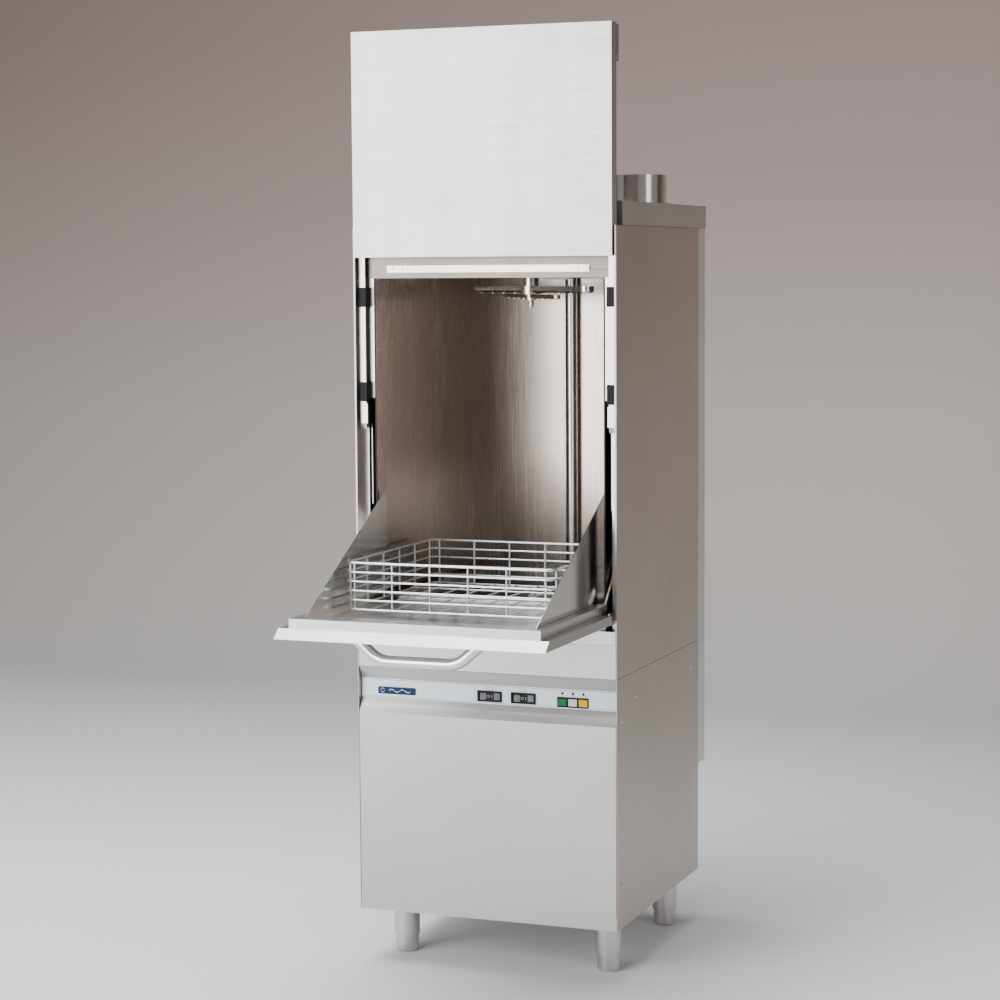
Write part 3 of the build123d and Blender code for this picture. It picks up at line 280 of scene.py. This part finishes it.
# ------------------------------------------------------------------ finishes by slot
def finishes():
    """One material for each finish that the record names."""
    door = (0.44, 0.44, 0.43)
    panel = (0.52, 0.505, 0.49)
    liner = (0.60, 0.62, 0.63)
    return {
        "satin_steel": brushed("satin_steel", (0.60, 0.58, 0.565), "z", 0.24),
        "panel_steel": brushed("panel_steel", panel, "x", 0.33),
        "door_steel": brushed("door_steel", door, "x", 0.32),
        "liner_steel": brushed("liner_steel", liner, "x", 0.26, depth=0.000004),
        "duct_steel": brushed("duct_steel", (0.72, 0.72, 0.71), "z", 0.42),
        "hook_steel": brushed("hook_steel", (0.40, 0.40, 0.39), "z", 0.34),
        "boiler_steel": brushed("boiler_steel", (0.48, 0.47, 0.45), "x", 0.4),
        "galvanised": galvanised("galvanised", (0.50, 0.52, 0.53)),
        "polished_steel": polished("polished_steel", (0.72, 0.72, 0.71)),
        "screw_steel": polished("screw_steel", (0.62, 0.61, 0.59), 0.22),
        "rack_wire": polished("rack_wire", (0.74, 0.77, 0.80), 0.26),
        "black_plastic": moulded("black_plastic", (0.010, 0.010, 0.011), 0.45, gloss=0.15),
        "grey_plastic": moulded("grey_plastic", (0.26, 0.27, 0.28), 0.45),
        "white_nylon": moulded("white_nylon", (0.74, 0.74, 0.70), 0.38, 500.0),
        "switch_grey": smooth_plastic("switch_grey", (0.018, 0.018, 0.020)),
        "fascia_blue": printed_film("fascia_blue", (0.84, 0.93, 1.0)),
        "badge_navy": smooth_plastic("badge_navy", (0.006, 0.028, 0.085), 0.3, 600.0),
        "button_green": smooth_plastic("button_green", (0.008, 0.15, 0.045)),
        "button_white": smooth_plastic("button_white", (0.74, 0.74, 0.71)),
        "button_yellow": smooth_plastic("button_yellow", (0.85, 0.48, 0.006)),
        "lamp_lens": lens("lamp_lens", (0.03, 0.03, 0.035)),
        "cast_motor": cast_paint("cast_motor", (0.04, 0.06, 0.10)),
        "hose_rubber": rubber("hose_rubber", (0.018, 0.018, 0.018)),
        "brass_valve": brass("brass_valve", (0.62, 0.43, 0.16)),
    }


SHELF = finishes()
# Side panel steel: its brown tint is a painted reflection of the brown surroundings.
SIDE_PANEL_PAINTED_REFLECTION = brushed("side_panel_steel_painted_reflection", (0.50, 0.435, 0.39), "y", 0.34)
# Chamber steel: its brown tint is a painted reflection of the surroundings.
CHAMBER_STEEL_PAINTED_REFLECTION = brushed("chamber_steel_painted_reflection", (0.46, 0.40, 0.36), "z", 0.22, depth=0.000006)
# Lintel steel: a darker copy of the steel, painted shade, with a brown painted reflection tint.
LINTEL_STEEL_PAINTED_SHADE = brushed("lintel_steel_painted_shade", (0.21, 0.18, 0.165), "x", 0.36)
GASKET = rubber("gasket_rubber", (0.03, 0.03, 0.032))
PRINT = printed_film("print_ink", (0.05, 0.07, 0.16))
BADGE_MARK = polished("badge_mark", (0.78, 0.80, 0.84), 0.2)
RIB_GREY = moulded("rib_grey", (0.34, 0.35, 0.36), 0.3, 800.0, 0.00001, coat=0.3)
SYMBOL_WHITE = printed_film("symbol_white", (0.80, 0.80, 0.78))


def dress_cad_nodes():
    """Gives each CAD node its slot's finish, or one of its own, and slightly rounded edges."""
    for entry in frame["record"]["subparts"]:
        node = frame["nodes"][entry["node"]]
        finish = SHELF[entry["material_slot"]]
        # Side panels take steel with a brown painted reflection tint.
        if entry["node"].startswith(("lower_side_panel", "upper_side_panel")):
            finish = SIDE_PANEL_PAINTED_REFLECTION
        # The chamber takes steel with a brown painted reflection tint.
        if entry["node"].startswith("chamber"):
            finish = CHAMBER_STEEL_PAINTED_REFLECTION
        # The lintel takes steel with painted shade and a brown painted reflection tint.
        if entry["node"] == "lintel":
            finish = LINTEL_STEEL_PAINTED_SHADE
        node.data.materials.clear()
        node.data.materials.append(finish)
        edge = node.modifiers.new("edge", "BEVEL")
        edge.width = 0.35 * MM
        edge.segments = 2
        edge.limit_method = "ANGLE"
        edge.angle_limit = radians(40)
        edge.harden_normals = False


# ------------------------------------------------------------------ mesh helpers
def mesh_piece(name, build, finish, body):
    """A piece from a bmesh recipe, riding on a body."""
    shape = bmesh.new()
    build(shape)
    mesh = bpy.data.meshes.new(name)
    shape.to_mesh(mesh)
    shape.free()
    piece = bpy.data.objects.new(name, mesh)
    bpy.context.scene.collection.objects.link(piece)
    piece.data.materials.append(finish)
    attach(piece, body)
    return piece


def add_slab(shape, low, high, round_by=0.0):
    """A slab between two corners, its edges rounded by round_by."""
    low, high = Vector(low), Vector(high)
    made = bmesh.ops.create_cube(shape, size=1.0)["verts"]
    size = high - low
    bmesh.ops.scale(shape, vec=size, verts=made)
    bmesh.ops.translate(shape, vec=(low + high) / 2, verts=made)
    if round_by:
        edges = list({edge for vert in made for edge in vert.link_edges})
        bmesh.ops.bevel(shape, geom=edges, offset=round_by, segments=2, affect="EDGES", profile=0.6)


def add_sweep(shape, points, outline, closed=False):
    """A fixed outline in (side, up) carried along a line of points, capped unless closed."""
    rings = []
    count = len(points)
    for i, point in enumerate(points):
        before = points[i - 1] if i or closed else points[i]
        after = points[(i + 1) % count] if i < count - 1 or closed else points[i]
        along = (Vector(after) - Vector(before)).normalized()
        side = along.cross(Vector((0, 0, 1)))
        side = side.normalized() if side.length > 1e-6 else Vector((1, 0, 0))
        up = side.cross(along)
        rings.append([shape.verts.new(Vector(point) + side * a + up * b) for a, b in outline])
    steps = range(count if closed else count - 1)
    for i in steps:
        ring, following = rings[i], rings[(i + 1) % count]
        for j in range(len(outline)):
            k = (j + 1) % len(outline)
            shape.faces.new((ring[j], ring[k], following[k], following[j]))
    if not closed:
        shape.faces.new(reversed(rings[0]))
        shape.faces.new(rings[-1])


def circle(radius, sides=12):
    """Outline of a round section."""
    angles = [2 * pi * i / sides for i in range(sides)]
    return [(radius * cos(a), radius * sin(a)) for a in angles]


# ------------------------------------------------------------------ stage, light, camera
def stage():
    """A seamless sweep: floor, curve and back wall."""
    depth_front, depth_back, bend, height, half = -30.0, 3.2, 2.0, 16.0, 40.0
    profile = [(depth_front, 0.0), (depth_back, 0.0)]
    steps = 16
    for i in range(1, steps + 1):
        angle = pi / 2 * i / steps
        profile.append((depth_back + bend * sin(angle), bend * (1 - cos(angle))))
    profile.append((depth_back + bend, height))
    shape = bmesh.new()
    rows = [[shape.verts.new((x, y, z)) for y, z in profile] for x in (-half, half)]
    for i in range(len(profile) - 1):
        face = shape.faces.new((rows[0][i], rows[1][i], rows[1][i + 1], rows[0][i + 1]))
        face.smooth = True
    mesh = bpy.data.meshes.new("studio_floor")
    shape.to_mesh(mesh)
    shape.free()
    floor = bpy.data.objects.new("studio_floor", mesh)
    bpy.context.scene.collection.objects.link(floor)
    # Painted shade: the paper darkens from pale blue-white at the front to dark brown up the back
    # wall.
    stops = [
        (0.4, (0.80, 0.84, 0.88)),
        (1.6, (0.66, 0.71, 0.75)),
        (3.2, (0.50, 0.50, 0.49)),
        (5.8, (0.42, 0.39, 0.38)),
        (6.7, (0.36, 0.31, 0.295)),
        (7.8, (0.27, 0.21, 0.195)),
        (9.5, (0.18, 0.135, 0.12)),
    ]
    floor.data.materials.append(studio_paper_painted_shade("studio_paper_painted_shade", stops, 10.0))


def area_light(name, place, aim, size, power, colour=(1, 1, 1)):
    light = bpy.data.lights.new(name, "AREA")
    light.shape = "RECTANGLE"
    light.size, light.size_y = size
    light.energy = power
    light.color = colour
    lamp = bpy.data.objects.new(name, light)
    bpy.context.scene.collection.objects.link(lamp)
    lamp.location = place
    direction = Vector(aim) - Vector(place)
    lamp.rotation_euler = direction.to_track_quat("-Z", "Y").to_euler()


def lights():
    """Soft boxes at the front left, front right and overhead, one for the wall, and an even sky."""
    centre = (0.0, 0.0, 1.0)
    area_light("key", (-2.2, -4.6, 1.9), centre, (3.4, 3.2), 245)
    area_light("fill", (4.2, -2.6, 2.4), centre, (1.6, 3.0), 30, (1.0, 0.93, 0.88))
    area_light("top", (-1.0, -0.8, 4.8), (-0.2, -0.2, 1.0), (3.2, 3.2), 270)
    area_light("wall_wash", (0.0, 1.6, 6.5), (0.0, 4.6, 1.0), (6.0, 2.0), 150)
    world = bpy.data.worlds.new("studio")
    world.use_nodes = True
    world.node_tree.nodes["Background"].inputs["Color"].default_value = (0.62, 0.55, 0.50, 1.0)
    world.node_tree.nodes["Background"].inputs["Strength"].default_value = 0.45
    bpy.context.scene.world = world


def camera():
    """A long lens just under the height of the top cap, from the front right, tilted down."""
    yaw, pitch, roll = radians(21.188), radians(5.358), radians(-0.377)
    place = Vector((1.9425, -5.0311, 1.5331))
    look = Vector((-sin(yaw) * cos(pitch), cos(yaw) * cos(pitch), -sin(pitch)))
    right = Vector((cos(yaw), sin(yaw), 0.0))
    up = right.cross(look)
    turned_right = right * cos(roll) + up * sin(roll)
    turned_up = up * cos(roll) - right * sin(roll)
    data = bpy.data.cameras.new("camera")
    data.sensor_width = 36.0
    data.lens = 89.14  # millimetres
    eye = bpy.data.objects.new("camera", data)
    bpy.context.scene.collection.objects.link(eye)
    axes = Matrix((turned_right, turned_up, -look)).transposed()
    eye.matrix_world = Matrix.Translation(place) @ axes.to_4x4()
    bpy.context.scene.camera = eye


# ------------------------------------------------------------------ small visual pieces
def door_gaskets():
    """Rubber lips on the jambs, where the doors close."""
    low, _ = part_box("jamb_right")
    face = low[1]
    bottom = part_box("door_sill")[1][2] + 8 * MM
    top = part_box("lintel")[0][2]
    half, shoulder, rise, height = 1.8 * MM, 1.4 * MM, 1.0 * MM, 1.5 * MM
    lip = [(-half, 0), (half, 0), (shoulder, rise), (0, height), (-shoulder, rise)]
    inner = low[0] + half
    steps = 8

    def build(shape):
        for side in (-1, 1):
            line = [
                (side * inner, face, bottom + (top - bottom) * i / steps)
                for i in range(steps + 1)
            ]
            add_sweep(shape, line, lip)

    mesh_piece("door_gaskets", build, GASKET, "cabinet")


def joint_place(name):
    """Where a joint of the record stands, in metres."""
    joints = frame["record"]["behaviour"]["joints"]
    return Vector(next(joint["pos_m"] for joint in joints if joint["name"] == name))


def turned_with_rocker(shape, pivot):
    """Turns what was built on a level rocker to the rocker's tilt at rest."""
    turn = Matrix.Rotation(ROCKER_TILT, 3, "Z")
    bmesh.ops.rotate(shape, cent=pivot, matrix=turn, verts=shape.verts)


def rocker_grips(node):
    """Grip ribs on both wings of a rocker."""
    pivot = joint_place(node + "_tilt")
    low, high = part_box(node)
    half_h = (high[2] - low[2]) / 2 - 2.6 * MM
    ribs, first, pitch = 5, 10 * MM, 2.6 * MM
    half_w, proud, sunk, rounding = 0.65 * MM, 0.5 * MM, 0.3 * MM, 0.15 * MM

    def build(shape):
        for side in (-1, 1):
            for i in range(ribs):
                offset = first + pitch * i
                face = pivot[1] - WING_MIDDLE - offset * WING_SLOPE
                x = pivot[0] + side * offset
                add_slab(
                    shape,
                    (x - half_w, face - proud, pivot[2] - half_h),
                    (x + half_w, face + sunk, pivot[2] + half_h),
                    rounding,
                )
        turned_with_rocker(shape, pivot)

    mesh_piece(node + "_grips", build, RIB_GREY, node)


def rocker_symbol(node):
    """A ring and a bar, the usual sign for off and on."""
    pivot = joint_place(node + "_tilt")
    radius, line, apart = 2.6 * MM, 0.35 * MM, 4 * MM
    face = pivot[1] - WING_MIDDLE - apart * WING_SLOPE
    steps = 24

    def build(shape):
        angles = [2 * pi * i / steps for i in range(steps)]
        ring = [
            (pivot[0] - apart + radius * cos(a), face, pivot[2] + radius * sin(a)) for a in angles
        ]
        add_sweep(shape, ring, circle(line, 8), closed=True)
        x = pivot[0] + apart
        add_slab(
            shape,
            (x - line, face - line, pivot[2] - radius),
            (x + line, face + line, pivot[2] + radius),
        )
        turned_with_rocker(shape, pivot)

    mesh_piece(node + "_symbol", build, SYMBOL_WHITE, node)


def add_outline(shape, x0, x1, z0, z1, front, line):
    """Four printed lines round a rectangle on a front face."""
    thick = 0.12 * MM
    for z in (z0, z1):
        add_slab(shape, (x0, front - thick, z - line / 2), (x1, front, z + line / 2))
    for x in (x0, x1):
        add_slab(shape, (x - line / 2, front - thick, z0), (x + line / 2, front, z1))


def fascia_print():
    """Border line of the film and empty label frames over the switches, without words."""
    low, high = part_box("control_fascia")
    front = low[1]
    inset, border = 2.2 * MM, 0.7 * MM
    label_half, label_low, label_high, thin = 8 * MM, 2.5 * MM, 7 * MM, 0.6 * MM

    def build(shape):
        add_outline(
            shape, low[0] + inset, high[0] - inset, low[2] + inset, high[2] - inset, front, border
        )
        for node in ("power_switch_housing", "cycle_switch_housing"):
            a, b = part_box(node)
            x, top = (a[0] + b[0]) / 2, b[2]
            left, right = x - label_half, x + label_half
            add_outline(shape, left, right, top + label_low, top + label_high, front, thin)

    mesh_piece("fascia_print", build, PRINT, "cabinet")


def badge_mark():
    """A plain ring and a wave, standing a little out of the badge plate."""
    low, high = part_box("badge_plate")
    front = low[1]
    middle_z = (low[2] + high[2]) / 2
    ring_x, ring_radius, ring_line, ring_steps = low[0] + 11 * MM, 4.4 * MM, 0.7 * MM, 28
    wave_x, wave_length, wave_height, wave_line = low[0] + 26 * MM, 52 * MM, 2.8 * MM, 0.9 * MM
    wave_steps, waves = 40, 2
    ring_y, wave_y = front - 0.35 * MM, front - 0.3 * MM

    def build(shape):
        ring = []
        for i in range(ring_steps):
            a = 2 * pi * i / ring_steps
            ring.append((ring_x + ring_radius * cos(a), ring_y, middle_z + ring_radius * sin(a)))
        add_sweep(shape, ring, circle(ring_line, 8), closed=True)
        wave = []
        for i in range(wave_steps + 1):
            part = i / wave_steps
            height = wave_height * sin(2 * pi * waves * part)
            wave.append((wave_x + wave_length * part, wave_y, middle_z + height))
        add_sweep(shape, wave, circle(wave_line, 8))

    mesh_piece("badge_mark", build, BADGE_MARK, "cabinet")


dress_cad_nodes()
door_gaskets()
fascia_print()
badge_mark()
for rocker in ("power_switch_rocker", "cycle_switch_rocker"):
    rocker_grips(rocker)
    rocker_symbol(rocker)
stage()
lights()
camera()
